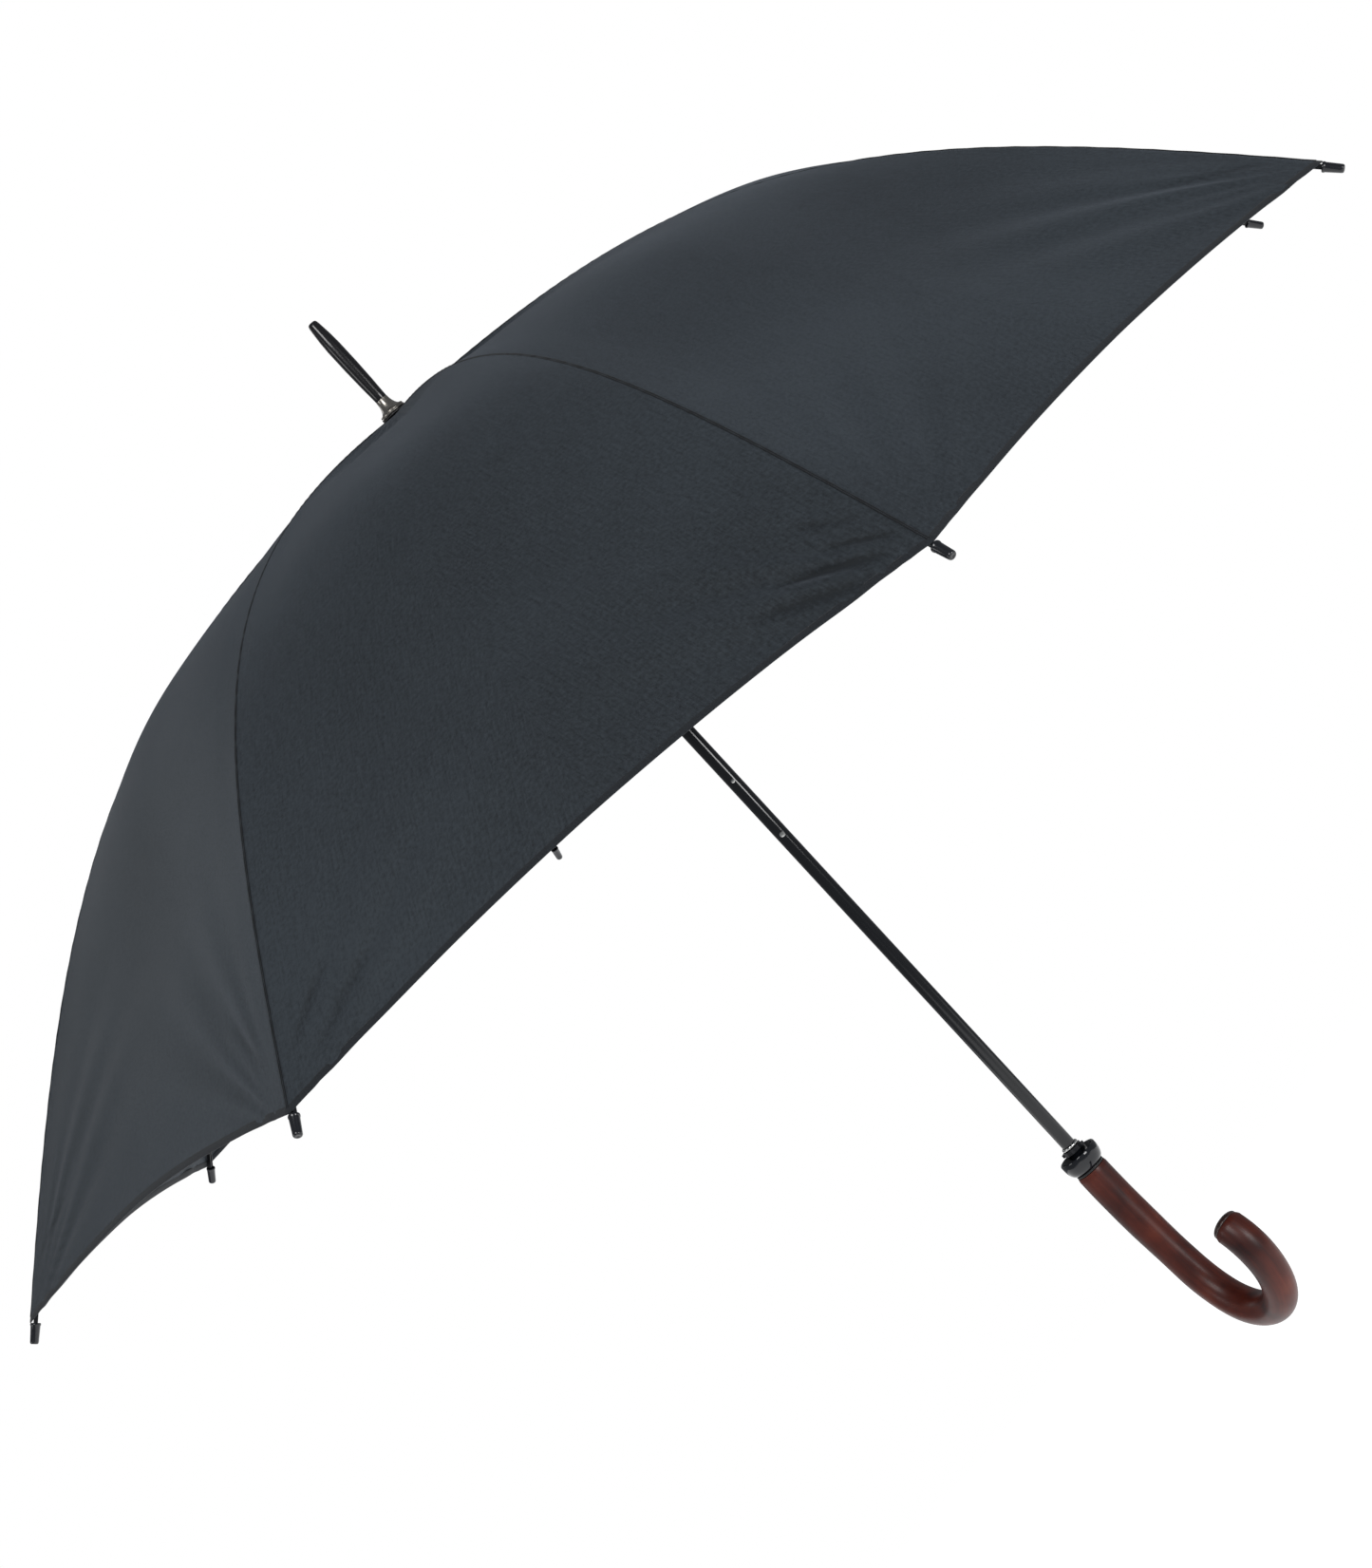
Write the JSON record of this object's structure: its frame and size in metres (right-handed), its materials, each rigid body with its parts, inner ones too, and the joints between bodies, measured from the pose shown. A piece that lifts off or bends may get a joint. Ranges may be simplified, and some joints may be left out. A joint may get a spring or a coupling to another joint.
{
  "type": "stick umbrella",
  "caption": "Open stick umbrella: scalloped dark cloth canopy on folding ribs and stretchers, sliding runner, long black shaft and ferrule, bent wooden crook handle.",
  "frame": {"origin": "on the shaft's axis, in the middle of the straight wooden grip, where a hand holds it", "axes": "+Z along the shaft towards the ferrule; the crook bends towards +X; the canopy is open"},
  "size_m": [1.0949, 1.0953, 0.8865],
  "materials": {
    "shaft_black": "gloss black lacquered steel tube",
    "ferrule_black": "gloss black",
    "gunmetal": "turned dark nickel plate",
    "black_trim": "matt black",
    "black_nylon": "moulded black nylon",
    "bright_wire": "bright spring steel",
    "bright_metal": "bright nickel plate",
    "frame_steel": "black enamelled spring steel",
    "collar_black": "gloss black",
    "stained_wood": "dark red-brown stain under satin lacquer",
    "dark_wood": "dark stained end",
    "tip_black": "gloss black",
    "canopy_cloth": "fine close weave, charcoal black with a blue cast"
  },
  "bodies": {
    "shaft_and_handle": {"shaft_tube": "shaft_black", "ferrule": "ferrule_black", "ferrule_cup": "gunmetal", "rosette_washer": "black_trim", "crown_notch": "black_nylon", "crown_wire": "bright_wire", "slot_rivet_upper": "bright_metal", "slot_rivet_lower": "bright_metal", "foot_ring": "bright_metal", "lock_plate": "frame_steel", "handle_collar": "collar_black", "neck_band": "black_trim", "handle_crook": "stained_wood", "handle_end_cap": "dark_wood"},
    "runner": {"runner_sleeve": "black_nylon", "runner_wire": "bright_wire"},
    "catch": {"top_catch": "bright_wire"},
    "rib_1": {"rib_inner_1": "frame_steel", "canopy_panel_1": "canopy_cloth"},
    "rib_2": {"rib_inner_2": "frame_steel", "canopy_panel_2": "canopy_cloth"},
    "rib_3": {"rib_inner_3": "frame_steel", "canopy_panel_3": "canopy_cloth"},
    "rib_4": {"rib_inner_4": "frame_steel", "canopy_panel_4": "canopy_cloth"},
    "rib_5": {"rib_inner_5": "frame_steel", "canopy_panel_5": "canopy_cloth"},
    "rib_6": {"rib_inner_6": "frame_steel", "canopy_panel_6": "canopy_cloth"},
    "rib_7": {"rib_inner_7": "frame_steel", "canopy_panel_7": "canopy_cloth"},
    "rib_8": {"rib_inner_8": "frame_steel", "canopy_panel_8": "canopy_cloth"},
    "rib_end_1": {"rib_outer_1": "frame_steel", "rib_tip_1": "tip_black"},
    "rib_end_2": {"rib_outer_2": "frame_steel", "rib_tip_2": "tip_black"},
    "rib_end_3": {"rib_outer_3": "frame_steel", "rib_tip_3": "tip_black"},
    "rib_end_4": {"rib_outer_4": "frame_steel", "rib_tip_4": "tip_black"},
    "rib_end_5": {"rib_outer_5": "frame_steel", "rib_tip_5": "tip_black"},
    "rib_end_6": {"rib_outer_6": "frame_steel", "rib_tip_6": "tip_black"},
    "rib_end_7": {"rib_outer_7": "frame_steel", "rib_tip_7": "tip_black"},
    "rib_end_8": {"rib_outer_8": "frame_steel", "rib_tip_8": "tip_black"},
    "stretcher_1": {"stretcher_1": "frame_steel"},
    "stretcher_2": {"stretcher_2": "frame_steel"},
    "stretcher_3": {"stretcher_3": "frame_steel"},
    "stretcher_4": {"stretcher_4": "frame_steel"},
    "stretcher_5": {"stretcher_5": "frame_steel"},
    "stretcher_6": {"stretcher_6": "frame_steel"},
    "stretcher_7": {"stretcher_7": "frame_steel"},
    "stretcher_8": {"stretcher_8": "frame_steel"}
  },
  "joints": [
    {"name": "rib_1_fold", "type": "hinge", "parent": "shaft_and_handle", "child": "rib_1", "pos_m": [0.00848, -0.0014, 0.681], "axis": [0.1633, 0.9866, 0], "range_deg": [0, 76], "deforming": ["canopy_panel_1", "top_catch"]},
    {"name": "rib_2_fold", "type": "hinge", "parent": "shaft_and_handle", "child": "rib_2", "pos_m": [0.00699, 0.00501, 0.681], "axis": [-0.5821, 0.8131, 0], "range_deg": [0, 76], "deforming": ["canopy_panel_2"]},
    {"name": "rib_3_fold", "type": "hinge", "parent": "shaft_and_handle", "child": "rib_3", "pos_m": [0.0014, 0.00848, 0.681], "axis": [-0.9866, 0.1633, 0], "range_deg": [0, 76], "deforming": ["canopy_panel_3"]},
    {"name": "rib_4_fold", "type": "hinge", "parent": "shaft_and_handle", "child": "rib_4", "pos_m": [-0.00501, 0.00699, 0.681], "axis": [-0.8131, -0.5821, 0], "range_deg": [0, 76], "deforming": ["canopy_panel_4"]},
    {"name": "rib_5_fold", "type": "hinge", "parent": "shaft_and_handle", "child": "rib_5", "pos_m": [-0.00848, 0.0014, 0.681], "axis": [-0.1633, -0.9866, 0], "range_deg": [0, 76], "deforming": ["canopy_panel_5"]},
    {"name": "rib_6_fold", "type": "hinge", "parent": "shaft_and_handle", "child": "rib_6", "pos_m": [-0.00699, -0.00501, 0.681], "axis": [0.5821, -0.8131, 0], "range_deg": [0, 76], "deforming": ["canopy_panel_6"]},
    {"name": "rib_7_fold", "type": "hinge", "parent": "shaft_and_handle", "child": "rib_7", "pos_m": [-0.0014, -0.00848, 0.681], "axis": [0.9866, -0.1633, 0], "range_deg": [0, 76], "deforming": ["canopy_panel_7"]},
    {"name": "rib_8_fold", "type": "hinge", "parent": "shaft_and_handle", "child": "rib_8", "pos_m": [0.00501, -0.00699, 0.681], "axis": [0.8131, 0.5821, 0], "range_deg": [0, 76], "deforming": ["canopy_panel_8"]},
    {"name": "rib_1_flex", "type": "hinge", "parent": "rib_1", "child": "rib_end_1", "pos_m": [0.26567, -0.04398, 0.63484], "axis": [0.1633, 0.9866, 0], "range_deg": [-23.49, 0]},
    {"name": "rib_2_flex", "type": "hinge", "parent": "rib_2", "child": "rib_end_2", "pos_m": [0.21896, 0.15676, 0.63484], "axis": [-0.5821, 0.8131, 0], "range_deg": [-23.49, 0]},
    {"name": "rib_3_flex", "type": "hinge", "parent": "rib_3", "child": "rib_end_3", "pos_m": [0.04398, 0.26567, 0.63484], "axis": [-0.9866, 0.1633, 0], "range_deg": [-23.49, 0]},
    {"name": "rib_4_flex", "type": "hinge", "parent": "rib_4", "child": "rib_end_4", "pos_m": [-0.15676, 0.21896, 0.63484], "axis": [-0.8131, -0.5821, 0], "range_deg": [-23.49, 0]},
    {"name": "rib_5_flex", "type": "hinge", "parent": "rib_5", "child": "rib_end_5", "pos_m": [-0.26567, 0.04398, 0.63484], "axis": [-0.1633, -0.9866, 0], "range_deg": [-23.49, 0]},
    {"name": "rib_6_flex", "type": "hinge", "parent": "rib_6", "child": "rib_end_6", "pos_m": [-0.21896, -0.15676, 0.63484], "axis": [0.5821, -0.8131, 0], "range_deg": [-23.49, 0]},
    {"name": "rib_7_flex", "type": "hinge", "parent": "rib_7", "child": "rib_end_7", "pos_m": [-0.04398, -0.26567, 0.63484], "axis": [0.9866, -0.1633, 0], "range_deg": [-23.49, 0]},
    {"name": "rib_8_flex", "type": "hinge", "parent": "rib_8", "child": "rib_end_8", "pos_m": [0.15676, -0.21896, 0.63484], "axis": [0.8131, 0.5821, 0], "range_deg": [-23.49, 0]},
    {"name": "stretcher_1_swing", "type": "hinge", "parent": "rib_1", "child": "stretcher_1", "pos_m": [0.25783, -0.04268, 0.62919], "axis": [0.1633, 0.9866, 0], "range_deg": [-152.01, 0]},
    {"name": "stretcher_2_swing", "type": "hinge", "parent": "rib_2", "child": "stretcher_2", "pos_m": [0.2125, 0.15213, 0.62919], "axis": [-0.5821, 0.8131, 0], "range_deg": [-152.01, 0]},
    {"name": "stretcher_3_swing", "type": "hinge", "parent": "rib_3", "child": "stretcher_3", "pos_m": [0.04268, 0.25783, 0.62919], "axis": [-0.9866, 0.1633, 0], "range_deg": [-152.01, 0]},
    {"name": "stretcher_4_swing", "type": "hinge", "parent": "rib_4", "child": "stretcher_4", "pos_m": [-0.15213, 0.2125, 0.62919], "axis": [-0.8131, -0.5821, 0], "range_deg": [-152.01, 0]},
    {"name": "stretcher_5_swing", "type": "hinge", "parent": "rib_5", "child": "stretcher_5", "pos_m": [-0.25783, 0.04268, 0.62919], "axis": [-0.1633, -0.9866, 0], "range_deg": [-152.01, 0]},
    {"name": "stretcher_6_swing", "type": "hinge", "parent": "rib_6", "child": "stretcher_6", "pos_m": [-0.2125, -0.15213, 0.62919], "axis": [0.5821, -0.8131, 0], "range_deg": [-152.01, 0]},
    {"name": "stretcher_7_swing", "type": "hinge", "parent": "rib_7", "child": "stretcher_7", "pos_m": [-0.04268, -0.25783, 0.62919], "axis": [0.9866, -0.1633, 0], "range_deg": [-152.01, 0]},
    {"name": "stretcher_8_swing", "type": "hinge", "parent": "rib_8", "child": "stretcher_8", "pos_m": [0.15213, -0.2125, 0.62919], "axis": [0.8131, 0.5821, 0], "range_deg": [-152.01, 0]},
    {"name": "runner_on_stretcher", "type": "hinge", "parent": "stretcher_1", "child": "runner", "pos_m": [0.00848, -0.0014, 0.57738], "axis": [0.1633, 0.9866, 0], "range_deg": [0, 76.01]},
    {"name": "catch_press", "type": "slide", "parent": "shaft_and_handle", "child": "catch", "axis": [-0.891, 0.454, 0], "range_m": [0, 0.0021], "stiffness_N_per_m": 900}
  ],
  "couplings": [
    {"joint": "rib_2_fold", "follows": "rib_1_fold", "ratio": 1},
    {"joint": "rib_3_fold", "follows": "rib_1_fold", "ratio": 1},
    {"joint": "rib_4_fold", "follows": "rib_1_fold", "ratio": 1},
    {"joint": "rib_5_fold", "follows": "rib_1_fold", "ratio": 1},
    {"joint": "rib_6_fold", "follows": "rib_1_fold", "ratio": 1},
    {"joint": "rib_7_fold", "follows": "rib_1_fold", "ratio": 1},
    {"joint": "rib_8_fold", "follows": "rib_1_fold", "ratio": 1},
    {"joint": "rib_1_flex", "follows": "rib_1_fold", "ratio": -0.309},
    {"joint": "rib_2_flex", "follows": "rib_1_fold", "ratio": -0.309},
    {"joint": "rib_3_flex", "follows": "rib_1_fold", "ratio": -0.309},
    {"joint": "rib_4_flex", "follows": "rib_1_fold", "ratio": -0.309},
    {"joint": "rib_5_flex", "follows": "rib_1_fold", "ratio": -0.309},
    {"joint": "rib_6_flex", "follows": "rib_1_fold", "ratio": -0.309},
    {"joint": "rib_7_flex", "follows": "rib_1_fold", "ratio": -0.309},
    {"joint": "rib_8_flex", "follows": "rib_1_fold", "ratio": -0.309},
    {"joint": "stretcher_1_swing", "follows": "rib_1_fold", "ratio": -2},
    {"joint": "stretcher_2_swing", "follows": "rib_1_fold", "ratio": -2},
    {"joint": "stretcher_3_swing", "follows": "rib_1_fold", "ratio": -2},
    {"joint": "stretcher_4_swing", "follows": "rib_1_fold", "ratio": -2},
    {"joint": "stretcher_5_swing", "follows": "rib_1_fold", "ratio": -2},
    {"joint": "stretcher_6_swing", "follows": "rib_1_fold", "ratio": -2},
    {"joint": "stretcher_7_swing", "follows": "rib_1_fold", "ratio": -2},
    {"joint": "stretcher_8_swing", "follows": "rib_1_fold", "ratio": -2},
    {"joint": "runner_on_stretcher", "follows": "rib_1_fold", "ratio": 1}
  ]
}
